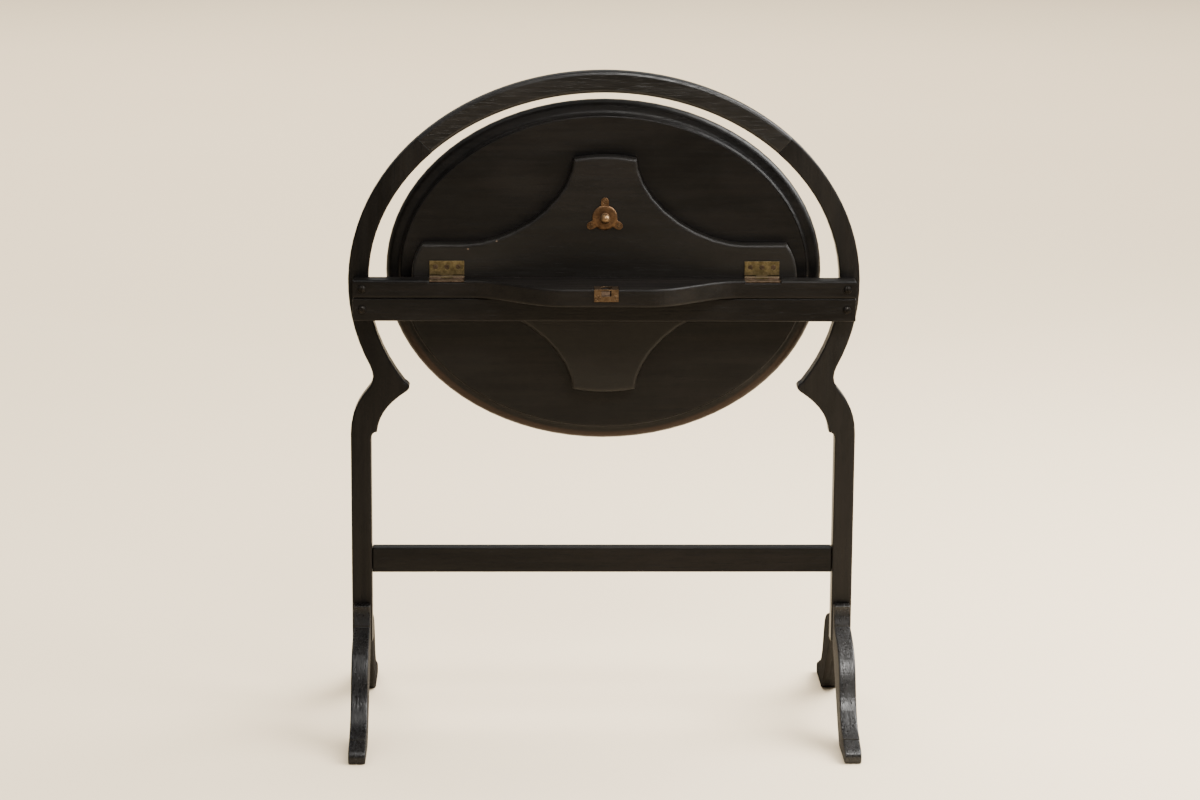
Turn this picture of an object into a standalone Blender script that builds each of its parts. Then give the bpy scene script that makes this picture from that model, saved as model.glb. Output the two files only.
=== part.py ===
"""Pastry table with a hooped frame and a tip-up oval top, at rest with the top folded upright.

Metres, +Z up. The origin is on the floor, midway between the feet. The front of the table faces -Y.
"""

from math import acos, asin, cos, pi, radians, sin, sqrt

import bmesh
import bpy
from mathutils import Matrix, Vector

MM = 0.001

# Fits
SEAT = 0.3 * MM                  # gap left between pieces that touch
SIDES = 12                       # facets round dowels, pins and round-headed screws
SMALL_SIDES = 8                  # facets round the little countersunk screws
CUT_SPARE = 3 * MM               # how far a cut starts outside the face that it goes into
SCREW_POINT = 2 * MM             # tapered end of every screw
SLOT_TURN = radians(50)          # driver slots stop at different angles, this far apart

# Hooped frame
HOOP_HALF_WIDTH = 280 * MM
HOOP_RISE = 232 * MM             # from the hoop's centre to its crown
HOOP_CENTRE = 497 * MM           # height of the hoop's centre
HOOP_BAND = 22 * MM              # width of its sides
HOOP_CROWN_BAND = 23.5 * MM      # width at the top, where a hand takes it
FRAME_THICKNESS = 22 * MM
FRAME_ROUND = 1.8 * MM
CROWN_ROUND = 3.5 * MM
CROWN_HALF_ANGLE = radians(46.7)  # from the crown's middle to its joints, on the ellipse
CROWN_DOWEL_RADIUS = 3.5 * MM
CROWN_DOWEL_LENGTH = 28 * MM
JOINT_SPARE = radians(4)         # outline drawn past a joint, then cut off square
HOOP_STEPS = 40                  # segments round half of the hoop

# Posts and the scrolls that carry the hoop on them
POST_SETBACK = 1.5 * MM          # post's outer face inside the hoop's widest point
POST_WIDTH = 22.5 * MM
POST_BOTTOM = 91 * MM
SCROLL_DROP = 93 * MM            # hoop's centre down to where its outer edge turns into the scroll
SCROLL_WAIST = 25 * MM           # how far the waist lies inside the post's outer face
SCROLL_WAIST_DROP = 108 * MM     # hoop's centre down to the waist
SCROLL_SHOULDER_DROP = 169 * MM  # hoop's centre down to where the scroll's outer edge meets the post
SCROLL_TIP_REACH = 43 * MM       # from the post's inner face to the tip
SCROLL_TIP_DROP = 117 * MM
SCROLL_TIP_ROUND = 3.2 * MM
SCROLL_CUSP_DROP = 167 * MM      # hoop's centre down to the cusp on the inner edge
SCROLL_CUSP_REACH = 6.5 * MM     # from the post's inner face to the cusp

# Feet
FOOT_REACH = 174 * MM            # from the frame's middle plane to the end of the toe
FOOT_WIDTH = 18.5 * MM
FOOT_TOP = 135 * MM
FOOT_BLOCK_DEPTH = 12 * MM       # top of the block that stands on the post's face
FOOT_LEDGE = 112 * MM
FOOT_LEDGE_DEPTH = 17 * MM
FOOT_LEDGE_DROP = 2 * MM         # from the end of the block's cove to the start of the foot
FOOT_KNEE_REACH = 84 * MM        # from the middle plane to the knee
FOOT_KNEE_HEIGHT = 91 * MM
FOOT_INSTEP_REACH = 99.5 * MM    # where the swelling shin turns into the hollow instep
FOOT_INSTEP_HEIGHT = 64 * MM
TOE_LENGTH = 24 * MM
TOE_HEIGHT = 19.5 * MM           # at the back of the toe
TOE_FALL = 4.5 * MM              # from the back of the toe to its front
TOE_STEP = 2.2 * MM              # drop from the instep onto the toe
TOE_ROUND = 8 * MM
TOE_PAD = 62 * MM                # from the end of the toe to the back of the flat that stands on the floor
TOE_CHAMFER = 2.2 * MM
FOOT_ROUND = 1.5 * MM
FOOT_DOWEL_RADIUS = 4 * MM
FOOT_DOWEL_BITE = 8.5 * MM       # how far a dowel reaches into each foot
FOOT_DOWEL_SPACING = 20 * MM

# Stretcher
STRETCHER_TOP = 198 * MM
STRETCHER_HEIGHT = 28 * MM
STRETCHER_THICKNESS = 16 * MM
STRETCHER_ROUND = 1 * MM
TENON_LENGTH = 13 * MM
TENON_SHOULDER = 4 * MM          # stretcher's face to the tenon's face, all round

# Shelf and rail across the front of the posts
SHELF_RISE = 7.1 * MM            # shelf's upper face above the hoop's centre
SHELF_THICKNESS = 19.6 * MM
SHELF_SETBACK = 6 * MM           # shelf's end inside the hoop's widest point
SHELF_END_DEPTH = 24 * MM
SHELF_SWELL_START = 147 * MM     # half-length at which the front begins to swell
SHELF_SWELL_END = 47 * MM
SHELF_ROUND = 2 * MM
RAIL_HEIGHT = 25.4 * MM
RAIL_SETBACK = 2 * MM            # rail's face behind the shelf's ends
RAIL_ROUND = 1.2 * MM
RAIL_SCREW_INSET = 10 * MM       # from the shelf's end
RAIL_SCREW_BITE = 14 * MM        # how far the screws reach into the posts
RAIL_SCREW_RADIUS = 2 * MM
RAIL_SCREW_HEAD_RADIUS = 4.6 * MM
RAIL_SCREW_HEAD_HEIGHT = 2.6 * MM
RAIL_SCREW_SLOT_WIDTH = 1 * MM
RAIL_SCREW_SLOT_DEPTH = 1.2 * MM

# Oval top and the cross-shaped batten under it
TOP_SIDE_GAP = 18.5 * MM         # between the folded top and the inside of the hoop
TOP_CROWN_GAP = 10.4 * MM
TOP_RISE = 2.3 * MM              # its middle above the hinge axis
TOP_THICKNESS = 21 * MM
TOP_LIP = 4.5 * MM               # thickness at the very edge
TOP_THUMB = 0.55                 # share of its moulding that is convex, the rest is hollow
TOP_FILLET = 0.08                # share of its moulding that is the step up to the flat
TOP_EASING = 1.2 * MM            # rounding of the serving face's edge
TOP_STEPS = 80
BATTEN_THICKNESS = 18 * MM
BATTEN_END_INSET = 29 * MM       # top's edge to the end of the bar
BATTEN_BAR_HALF_WIDTH = 33.8 * MM
BATTEN_END_BULGE = 11 * MM
BATTEN_ARM_INSET = 58.3 * MM     # top's edge to the end of an arm
BATTEN_ARM_HALF_WIDTH = 34.2 * MM
BATTEN_ARM_BULGE = 3.4 * MM
BATTEN_CURVE_INSET = 59.5 * MM   # end of the bar to where its straight edge leaves for the arm
BATTEN_CURVE_FULLNESS = 1.75     # 2 is a quarter of an ellipse, less is flatter
BATTEN_ROUND = 3.2 * MM          # rounding of its edge

# Hinges
HINGE_INSET = 38.5 * MM          # end of the batten's bar to the hinge's middle
HINGE_LENGTH = 38 * MM
LEAF_REACH = 18 * MM             # from the pin's axis to the leaf's edge
LEAF_THICKNESS = 1.5 * MM
LEAF_SINK = 1.1 * MM             # shelf's upper face to the face of a leaf let into it
KNUCKLE_RADIUS = 2.3 * MM
KNUCKLE_GAP = 0.4 * MM           # between neighbouring knuckles
PIN_RADIUS = 1.1 * MM
LEAF_SCREW_SPACING = 12.5 * MM
LEAF_SCREW_REACH = 11.3 * MM     # from the pin's axis to the screws
SMALL_SCREW_RADIUS = 1.2 * MM
SMALL_SCREW_HEAD_RADIUS = 2.8 * MM
SMALL_SCREW_HEAD_HEIGHT = 1.1 * MM
SMALL_SCREW_LENGTH = 11 * MM
SMALL_SCREW_SLOT_WIDTH = 0.6 * MM
SMALL_SCREW_SLOT_DEPTH = 0.5 * MM

# Ball catch on the batten and its strike on the shelf
CATCH_REACH = 65.7 * MM          # from the hinge axis to the stud
CATCH_PLATE_RADIUS = 13.8 * MM
CATCH_STRIKE_GAP = 0.6 * MM      # left between the catch plate and the strike when the top is level
CATCH_PLATE_ROUND = 3.2 * MM     # width of its rounded rim
CATCH_BOSS_RADIUS = 4.6 * MM     # round the stud
CATCH_BOSS_RISE = 0.9 * MM
CATCH_LUG_STANDOUT = 4 * MM      # from the plate's edge to the middle of a lug's screw
CATCH_LUG_RADIUS = 4.2 * MM
CATCH_LUG_THICKNESS = 0.9 * MM
STUD_BALL_RADIUS = 5.7 * MM
STUD_BALL_GAP = 0.2 * MM         # between the ball and its seat on the plate
STUD_NECK_RADIUS = 2.4 * MM
STUD_COLLAR = 1 * MM             # how far the foot of the neck spreads
STUD_SHANK_RADIUS = 1.8 * MM
STUD_SHANK_LENGTH = 9 * MM
STRIKE_WIDTH = 26 * MM
STRIKE_THICKNESS = 1 * MM
STRIKE_CLEARANCE = 0.8 * MM      # round the ball
STRIKE_FRONT_RIM = 4 * MM        # shelf's front edge to the hole for the ball
STRIKE_REAR_RIM = 3 * MM
STRIKE_POCKET_FLOOR = 0.5 * MM   # from the ball's underside to the pocket's floor
STRIKE_SKIRT = 0.6 * MM          # from the pocket's floor to the strike's lower edge
STRIKE_WINDOW_WIDTH = 10.6 * MM
STRIKE_WINDOW_HEIGHT = 6.2 * MM
STRIKE_WINDOW_DROP = 0.2 * MM    # from under the strike's top to the window
STRIKE_SCREW_OFFSET = 9.2 * MM
STRIKE_SCREW_RISE = 4.2 * MM     # above the strike's lower edge
SPRING_THICKNESS = 0.6 * MM
SPRING_WIDTH = 9.4 * MM
SPRING_OFFSET = 0.8 * MM         # from the middle of the window, to the left
SPRING_DROP = 0.7 * MM           # from the top of the window to the top of the leaf
SPRING_FOOT = 4 * MM

# Places that follow from the sizes above
FRAME_FRONT = -FRAME_THICKNESS / 2
POST_OUTER = HOOP_HALF_WIDTH - POST_SETBACK    # from the middle plane to the post's outer face
POST_INNER = POST_OUTER - POST_WIDTH
POST_MIDDLE = POST_OUTER - POST_WIDTH / 2
INNER_HALF_WIDTH = HOOP_HALF_WIDTH - HOOP_BAND
INNER_RISE = HOOP_RISE - HOOP_CROWN_BAND
JOINT_ANGLE = pi / 2 - CROWN_HALF_ANGLE
SHELF_BACK = FRAME_FRONT - SEAT
SHELF_HALF_LENGTH = HOOP_HALF_WIDTH - SHELF_SETBACK
SHELF_TOP = HOOP_CENTRE + SHELF_RISE
SHELF_BOTTOM = SHELF_TOP - SHELF_THICKNESS
RAIL_TOP = SHELF_BOTTOM - SEAT
RAIL_DEPTH = SHELF_END_DEPTH - RAIL_SETBACK
LEAF_STANDOFF = KNUCKLE_RADIUS + SEAT          # from the hinge axis to the wood that a leaf lies on
AXIS_Y = SHELF_BACK - KNUCKLE_RADIUS
HINGE_LET_IN = LEAF_THICKNESS + SEAT + LEAF_SINK  # depth of the housing that a lower leaf lies in
AXIS_Z = SHELF_TOP + LEAF_STANDOFF - HINGE_LET_IN
TOP_HALF_LENGTH = INNER_HALF_WIDTH - TOP_SIDE_GAP
TOP_HALF_WIDTH = HOOP_CENTRE + INNER_RISE - TOP_CROWN_GAP - AXIS_Z - TOP_RISE
BATTEN_HALF_LENGTH = TOP_HALF_LENGTH - BATTEN_END_INSET
BATTEN_ARM_HALF_LENGTH = TOP_HALF_WIDTH - BATTEN_ARM_INSET
BATTEN_CURVE_START = BATTEN_HALF_LENGTH - BATTEN_CURVE_INSET
HINGE_OFFSET = BATTEN_HALF_LENGTH - HINGE_INSET
CATCH_PLATE_THICKNESS = 2 * LEAF_STANDOFF - HINGE_LET_IN - SEAT - CATCH_STRIKE_GAP
CATCH_LUG_REACH = CATCH_PLATE_RADIUS + CATCH_LUG_STANDOUT
CATCH_BOSS_HEIGHT = CATCH_PLATE_THICKNESS + CATCH_BOSS_RISE
STUD_SEAT = CATCH_BOSS_HEIGHT + 2 * SEAT       # from the batten's face to the foot of the stud's neck
STUD_BALL_HEIGHT = STUD_SEAT + STUD_BALL_GAP + STUD_BALL_RADIUS
BALL_OPEN_Y = AXIS_Y - CATCH_REACH             # where the ball comes to rest with the top level
BALL_OPEN_Z = AXIS_Z + LEAF_STANDOFF - STUD_BALL_HEIGHT
POCKET_HALF = STUD_BALL_RADIUS + STRIKE_CLEARANCE
SHELF_FRONT = BALL_OPEN_Y - POCKET_HALF - STRIKE_FRONT_RIM     # front of the shelf's swell
SHELF_CENTRE_DEPTH = SHELF_BACK - SHELF_FRONT

UPRIGHT_FACE = (pi / 2, 0, 0)    # local XY becomes the frame's XZ, local +Z faces the front
FRONT_FOOT = (pi / 2, 0, -pi / 2)
BACK_FOOT = (pi / 2, 0, pi / 2)


# Scene

def clear_scene():
    for item in list(bpy.data.objects):
        bpy.data.objects.remove(item, do_unlink=True)


def collection(name, hidden=False):
    made = bpy.data.collections.new(name)
    bpy.context.scene.collection.children.link(made)
    made.hide_render = hidden
    return made


def material(name, colour, roughness, metallic=0.0):
    made = bpy.data.materials.new(name)
    made.use_nodes = True
    shader = made.node_tree.nodes["Principled BSDF"]
    shader.inputs["Base Color"].default_value = (*colour, 1)
    shader.inputs["Roughness"].default_value = roughness
    shader.inputs["Metallic"].default_value = metallic
    return made


def pivot(name, location, rotation):
    empty = bpy.data.objects.new(name, None)
    empty.location = location
    empty.rotation_euler = rotation
    PARTS.objects.link(empty)
    return empty


def add(name, mesh, finish, location=(0, 0, 0), rotation=(0, 0, 0), parent=None):
    mesh.materials.clear()
    mesh.materials.append(finish)
    mesh.shade_smooth()
    mesh.set_sharp_from_angle(angle=radians(35))
    obj = bpy.data.objects.new(name, mesh)
    obj.location = location
    obj.rotation_euler = rotation
    obj.parent = parent
    PARTS.objects.link(obj)
    return obj


# Mesh tools

def to_mesh(bm, name):
    bmesh.ops.recalc_face_normals(bm, faces=bm.faces[:])
    mesh = bpy.data.meshes.new(name)
    bm.to_mesh(mesh)
    bm.free()
    return mesh


def flat_mesh(name, outline, thickness):
    """A flat piece in local XY, its thickness centred on local Z."""
    curve = bpy.data.curves.new(name, "CURVE")
    curve.dimensions = "2D"
    curve.fill_mode = "BOTH"
    curve.extrude = thickness / 2
    spline = curve.splines.new("POLY")
    spline.points.add(len(outline) - 1)
    for point, (x, y) in zip(spline.points, outline):
        point.co = (x, y, 0, 1)
    spline.use_cyclic_u = True
    guide = bpy.data.objects.new(name, curve)
    CUTTERS.objects.link(guide)
    bpy.context.view_layer.update()
    graph = bpy.context.evaluated_depsgraph_get()
    mesh = bpy.data.meshes.new_from_object(guide.evaluated_get(graph))
    bpy.data.objects.remove(guide)
    bpy.data.curves.remove(curve)
    bm = bmesh.new()
    bm.from_mesh(mesh)
    bpy.data.meshes.remove(mesh)
    bmesh.ops.remove_doubles(bm, verts=bm.verts[:], dist=0.001 * MM)
    for up in (True, False):
        cap = [face for face in bm.faces if all((vert.co.z > 0) == up for vert in face.verts)]
        bmesh.ops.dissolve_faces(bm, faces=cap)
    return to_mesh(bm, name)


def rim_edges(bm, side):
    """Edges round the flat face that looks along local Z, up if side is 1."""
    return [edge for edge in bm.edges if any(face.normal.z * side > 0.9 for face in edge.link_faces)]


def moulded(obj, side, width, profile):
    """Works a moulding round one rim. Profile points are (inset, depth), as shares of its width."""
    mesh = obj.data
    bm = bmesh.new()
    bm.from_mesh(mesh)
    weight = bm.edges.layers.float.new("bevel_weight_edge")
    for edge in rim_edges(bm, side):
        edge[weight] = 1
    bm.to_mesh(mesh)
    bm.free()
    bevel = obj.modifiers.new("Moulding", "BEVEL")
    bevel.limit_method = "WEIGHT"
    bevel.offset_type = "OFFSET"
    bevel.width = width
    bevel.use_clamp_overlap = False
    bevel.segments = len(profile) - 1
    bevel.profile_type = "CUSTOM"
    shape = bevel.custom_profile
    for inset, depth in profile[1:-1]:
        shape.points.add(1 - inset, 1 - depth)
    for point in shape.points:
        point.handle_type_1 = "VECTOR"
        point.handle_type_2 = "VECTOR"
    shape.use_sample_straight_edges = True
    shape.update()
    return obj


def rounded_flat(name, outline, thickness, radius, sides=(1, -1)):
    """A flat piece with its rims rounded, on both sides or on one."""
    mesh = flat_mesh(name, outline, thickness)
    bm = bmesh.new()
    bm.from_mesh(mesh)
    rims = [edge for side in sides for edge in rim_edges(bm, side)]
    bmesh.ops.bevel(bm, geom=rims, offset=radius, segments=2, profile=0.5, affect="EDGES")
    bm.to_mesh(mesh)
    bm.free()
    return mesh


def trim(mesh, point, normal):
    """Cuts off what lies beyond a plane and closes the end."""
    bm = bmesh.new()
    bm.from_mesh(mesh)
    everything = bm.verts[:] + bm.edges[:] + bm.faces[:]
    cut = bmesh.ops.bisect_plane(bm, geom=everything, plane_co=point, plane_no=normal, clear_outer=True)
    edges = [item for item in cut["geom_cut"] if isinstance(item, bmesh.types.BMEdge)]
    bmesh.ops.contextual_create(bm, geom=edges)
    bm.to_mesh(mesh)
    bm.free()


def turned(name, profile, finish, location, rotation=(0, 0, 0), parent=None, sides=SIDES):
    """A solid turned round local Z from (radius, height) points, listed from its top to its bottom."""
    bm = bmesh.new()
    verts = [bm.verts.new((radius, 0, height)) for radius, height in profile]
    for pair in zip(verts, verts[1:]):
        bm.edges.new(pair)
    mesh = bpy.data.meshes.new(name)
    bm.to_mesh(mesh)
    bm.free()
    obj = add(name, mesh, finish, location, rotation, parent)
    screw = obj.modifiers.new("Turning", "SCREW")
    screw.axis = "Z"
    screw.angle = 2 * pi
    screw.steps = sides
    screw.render_steps = sides
    screw.use_merge_vertices = True
    screw.merge_threshold = 0.01 * MM
    return obj


def box_into(bm, low, high):
    size = [b - a for a, b in zip(low, high)]
    middle = [(a + b) / 2 for a, b in zip(low, high)]
    place = Matrix.Translation(middle) @ Matrix.Diagonal((*size, 1))
    bmesh.ops.create_cube(bm, size=1, matrix=place)


def rod_into(bm, start, end, radius, end_radius=None, sides=SIDES):
    start, end = Vector(start), Vector(end)
    way = end - start
    place = Matrix.Translation((start + end) / 2) @ way.to_track_quat("Z", "Y").to_matrix().to_4x4()
    last = radius if end_radius is None else end_radius
    bmesh.ops.create_cone(
        bm, cap_ends=True, segments=sides, radius1=radius, radius2=last, depth=way.length, matrix=place
    )


def box_mesh(name, low, high, radius):
    """A box with all its edges eased."""
    bm = bmesh.new()
    box_into(bm, low, high)
    bmesh.ops.bevel(bm, geom=bm.edges[:], offset=radius, segments=2, profile=0.5, affect="EDGES")
    return to_mesh(bm, name)


def change(obj, bm, operation="DIFFERENCE"):
    """Cuts a helper's shape from an object, or joins it on. The helper lies in the object's own frame."""
    name = f"{obj.name}_{operation.lower()}_{len(obj.modifiers)}"
    helper = bpy.data.objects.new(name, to_mesh(bm, name))
    helper.location = obj.location
    helper.rotation_euler = obj.rotation_euler
    helper.parent = obj.parent
    helper.hide_render = True
    helper.display_type = "WIRE"
    CUTTERS.objects.link(helper)
    modifier = obj.modifiers.new(operation.title(), "BOOLEAN")
    modifier.operation = operation
    modifier.object = helper
    modifier.solver = "EXACT"
    return obj


def cut_slot(screw, reach, top, width, depth, turn):
    """Cuts the driver slot across a screw's head."""
    bm = bmesh.new()
    box_into(bm, (-reach, -width / 2, top - depth), (reach, width / 2, top + CUT_SPARE))
    bmesh.ops.rotate(bm, verts=bm.verts[:], cent=(0, 0, 0), matrix=Matrix.Rotation(turn, 3, "Z"))
    change(screw, bm)


# Outlines

def ellipse_point(half_width, rise, angle):
    return (half_width * cos(angle), HOOP_CENTRE + rise * sin(angle))


def curve_points(a, b, c, d, count):
    """Points on a cubic curve from a to d, without its last point."""
    found = []
    for i in range(count):
        t = i / count
        weights = ((1 - t) ** 3, 3 * t * (1 - t) ** 2, 3 * t * t * (1 - t), t ** 3)
        found.append(tuple(sum(w * p[k] for w, p in zip(weights, (a, b, c, d))) for k in (0, 1)))
    return found


def arc_between(start, end, bulge, count):
    """Points on a shallow arc that swells to the right of its way, without its last point."""
    (x0, y0), (x1, y1) = start, end
    half = sqrt((x1 - x0) ** 2 + (y1 - y0) ** 2) / 2
    radius = (half * half + bulge * bulge) / (2 * bulge)
    turn = asin(half / radius)
    along = ((x1 - x0) / (2 * half), (y1 - y0) / (2 * half))
    right = (along[1], -along[0])
    found = []
    for i in range(count):
        angle = -turn + 2 * turn * i / count
        run, swell = half + radius * sin(angle), radius * (cos(angle) - cos(turn))
        found.append((x0 + along[0] * run + right[0] * swell, y0 + along[1] * run + right[1] * swell))
    return found


def mirrored(points):
    return [(-x, y) for x, y in reversed(points)]


def joint_plane(angle):
    """A point on a crown joint's plane and the plane's normal, towards the crown."""
    outer = Vector((*ellipse_point(HOOP_HALF_WIDTH, HOOP_RISE, angle), 0))
    inner = Vector((*ellipse_point(INNER_HALF_WIDTH, INNER_RISE, angle), 0))
    normal = Vector((0, 0, 1)).cross(outer - inner).normalized()
    if normal.y < 0:
        normal.negate()
    return (outer + inner) / 2, normal


def crown_outline():
    last = pi / 2 + CROWN_HALF_ANGLE + JOINT_SPARE
    first = JOINT_ANGLE - JOINT_SPARE
    angles = [first + (last - first) * i / HOOP_STEPS for i in range(HOOP_STEPS + 1)]
    outer = [ellipse_point(HOOP_HALF_WIDTH, HOOP_RISE, a) for a in angles]
    inner = [ellipse_point(INNER_HALF_WIDTH, INNER_RISE, a) for a in reversed(angles)]
    return outer + inner


def upright_outline():
    """The right upright: hoop's side, scroll and post, anticlockwise from the post's foot."""
    first = -asin(SCROLL_DROP / HOOP_RISE)
    last = JOINT_ANGLE + JOINT_SPARE
    count = HOOP_STEPS // 2
    shares = [i / count for i in range(count + 1)]
    outer = [ellipse_point(HOOP_HALF_WIDTH, HOOP_RISE, first + (last - first) * share) for share in shares]
    waist_x, waist_z = POST_OUTER - SCROLL_WAIST, HOOP_CENTRE - SCROLL_WAIST_DROP
    turn = (POST_OUTER - SCROLL_WAIST * 0.69, waist_z - SCROLL_WAIST * 0.52)
    shoulder = (POST_OUTER, HOOP_CENTRE - SCROLL_SHOULDER_DROP)
    rise = turn[1] - shoulder[1]
    flank = curve_points(
        shoulder, (POST_OUTER, shoulder[1] + rise / 2),
        (turn[0] + rise * 0.17, turn[1] - rise * 0.21), turn, 6,
    )
    lift = SCROLL_WAIST_DROP - SCROLL_DROP
    waist = curve_points(
        turn, (waist_x - lift * 0.1, waist_z - lift * 0.2),
        (waist_x - lift * 0.1, waist_z + lift * 0.3), outer[0], 5,
    )
    tip = (POST_INNER - SCROLL_TIP_REACH, HOOP_CENTRE - SCROLL_TIP_DROP)
    inner_first = -asin((SCROLL_TIP_DROP - 2 * SCROLL_TIP_ROUND) / INNER_RISE)
    inner = [
        ellipse_point(INNER_HALF_WIDTH, INNER_RISE, last + (inner_first - last) * share) for share in shares
    ]
    cusp = (POST_INNER - SCROLL_CUSP_REACH, HOOP_CENTRE - SCROLL_CUSP_DROP)
    under = (tip[0] + SCROLL_TIP_ROUND, tip[1] - SCROLL_TIP_ROUND * 1.2)
    nose = curve_points(
        inner[-1], (tip[0], tip[1] + SCROLL_TIP_ROUND), (tip[0] - SCROLL_TIP_ROUND / 2, tip[1]), under, 4
    )[1:]
    fall = under[1] - cusp[1]
    sweep = curve_points(
        under, (under[0] + SCROLL_TIP_REACH * 0.5, under[1] - fall * 0.3),
        (cusp[0] - SCROLL_CUSP_REACH * 0.3, cusp[1] + fall * 0.4), cusp, 7,
    )
    ankle = (POST_INNER, cusp[1] - SCROLL_CUSP_REACH * 1.2)
    roll = curve_points(
        cusp, (cusp[0] + SCROLL_CUSP_REACH * 0.6, cusp[1]),
        (POST_INNER, cusp[1] - SCROLL_CUSP_REACH * 0.5), ankle, 4,
    )
    foot = [(POST_INNER, POST_BOTTOM), (POST_OUTER, POST_BOTTOM)]
    return foot + flank + waist + outer + inner + nose + sweep + roll + [ankle]


def foot_outline():
    """Side of a foot: local X runs outwards from the frame's middle plane, local Y is the height."""
    face = FRAME_THICKNESS / 2 + SEAT
    block = face + FOOT_BLOCK_DEPTH
    ledge = face + FOOT_LEDGE_DEPTH
    cove_end = (ledge, FOOT_LEDGE + FOOT_LEDGE_DROP)
    cove_run, cove_fall = ledge - block, FOOT_TOP - cove_end[1]
    cove = curve_points(
        (block, FOOT_TOP), (block, FOOT_TOP - cove_fall * 0.5),
        (ledge - cove_run * 0.5, cove_end[1] + cove_fall * 0.3), cove_end, 9,
    )
    knee_run, knee_fall = FOOT_KNEE_REACH - ledge, FOOT_LEDGE - FOOT_KNEE_HEIGHT
    knee = curve_points(
        (ledge, FOOT_LEDGE), (ledge + knee_run * 0.32, FOOT_LEDGE - knee_fall * 0.19),
        (FOOT_KNEE_REACH - knee_run * 0.23, FOOT_KNEE_HEIGHT + knee_fall * 0.53),
        (FOOT_KNEE_REACH, FOOT_KNEE_HEIGHT), 8,
    )
    shin_run, shin_fall = FOOT_INSTEP_REACH - FOOT_KNEE_REACH, FOOT_KNEE_HEIGHT - FOOT_INSTEP_HEIGHT
    shin = curve_points(
        (FOOT_KNEE_REACH, FOOT_KNEE_HEIGHT),
        (FOOT_KNEE_REACH + shin_run * 0.39, FOOT_KNEE_HEIGHT - shin_fall * 0.244),
        (FOOT_INSTEP_REACH - shin_run * 0.265, FOOT_INSTEP_HEIGHT + shin_fall * 0.378),
        (FOOT_INSTEP_REACH, FOOT_INSTEP_HEIGHT), 8,
    )
    toe_start = FOOT_REACH - TOE_LENGTH
    instep_end = TOE_HEIGHT + TOE_STEP
    step_run, step_fall = toe_start - FOOT_INSTEP_REACH, FOOT_INSTEP_HEIGHT - instep_end
    instep = curve_points(
        (FOOT_INSTEP_REACH, FOOT_INSTEP_HEIGHT),
        (FOOT_INSTEP_REACH + step_run * 0.2, FOOT_INSTEP_HEIGHT - step_fall * 0.6),
        (toe_start - step_run * 0.47, instep_end + step_fall * 0.08), (toe_start, instep_end), 14,
    )
    toe_front = TOE_HEIGHT - TOE_FALL
    toe = [(toe_start, instep_end), (toe_start, TOE_HEIGHT)] + curve_points(
        (FOOT_REACH - TOE_ROUND, toe_front), (FOOT_REACH - TOE_ROUND * 0.4, toe_front - TOE_ROUND * 0.13),
        (FOOT_REACH, toe_front - TOE_ROUND * 0.5), (FOOT_REACH, toe_front - TOE_ROUND * 1.1), 8,
    )
    heel = FOOT_REACH - TOE_PAD
    sole = [(FOOT_REACH, TOE_CHAMFER), (FOOT_REACH - TOE_CHAMFER, 0)]
    arch_run = heel - face
    arch = curve_points(
        (heel, 0), (heel - arch_run * 0.2, POST_BOTTOM * 0.045), (face + arch_run * 0.42, POST_BOTTOM * 0.62),
        (face, POST_BOTTOM), 10,
    )
    upper = [(face, FOOT_TOP)] + cove + [cove_end]
    outline = upper + knee + shin + instep + toe
    outline += [(FOOT_REACH, toe_front - TOE_ROUND * 1.1)] + sole + arch + [(face, POST_BOTTOM)]
    return list(reversed(outline))


def shelf_depth(x):
    share = (SHELF_SWELL_START - abs(x)) / (SHELF_SWELL_START - SHELF_SWELL_END)
    share = min(max(share, 0), 1)
    swell = SHELF_CENTRE_DEPTH - SHELF_END_DEPTH
    return SHELF_END_DEPTH + swell * (1 - cos(pi * share)) / 2


def shelf_outline():
    steps = 20
    rise = [SHELF_SWELL_START + (SHELF_SWELL_END - SHELF_SWELL_START) * i / steps for i in range(steps + 1)]
    front = [-x for x in [SHELF_HALF_LENGTH] + rise] + list(reversed([SHELF_HALF_LENGTH] + rise))
    outline = [(x, SHELF_BACK - shelf_depth(x)) for x in front]
    return outline + [(SHELF_HALF_LENGTH, SHELF_BACK), (-SHELF_HALF_LENGTH, SHELF_BACK)]


def batten_curve(count):
    """One hollow of the cross, from the bar's edge to the corner of the arm, without its last point."""
    run = BATTEN_CURVE_START - BATTEN_ARM_HALF_WIDTH
    rise = BATTEN_ARM_HALF_LENGTH - BATTEN_ARM_BULGE - BATTEN_BAR_HALF_WIDTH
    power = 2 / BATTEN_CURVE_FULLNESS
    found = []
    for i in range(count):
        angle = pi / 2 * i / count
        x = BATTEN_CURVE_START - run * sin(angle) ** power
        found.append((x, BATTEN_BAR_HALF_WIDTH + rise * (1 - cos(angle) ** power)))
    return found


def batten_outline():
    """The cross seen on its face, anticlockwise, centred on the hinge axis."""
    end_x = BATTEN_HALF_LENGTH - BATTEN_END_BULGE
    arm_y = BATTEN_ARM_HALF_LENGTH - BATTEN_ARM_BULGE
    low, high = (end_x, -BATTEN_BAR_HALF_WIDTH), (end_x, BATTEN_BAR_HALF_WIDTH)
    right_end = arc_between(low, high, BATTEN_END_BULGE, 8) + [high]
    hollow = batten_curve(9)
    corner = (BATTEN_ARM_HALF_WIDTH, arm_y)
    arm_end = arc_between(corner, (-BATTEN_ARM_HALF_WIDTH, arm_y), BATTEN_ARM_BULGE, 6)
    upper = right_end[4:] + hollow + arm_end[:4]
    upper_half = upper + mirrored(upper)[1:]
    lower_half = [(-x, -y) for x, y in upper_half]
    return upper_half[:-1] + lower_half[:-1]


# Frame

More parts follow.
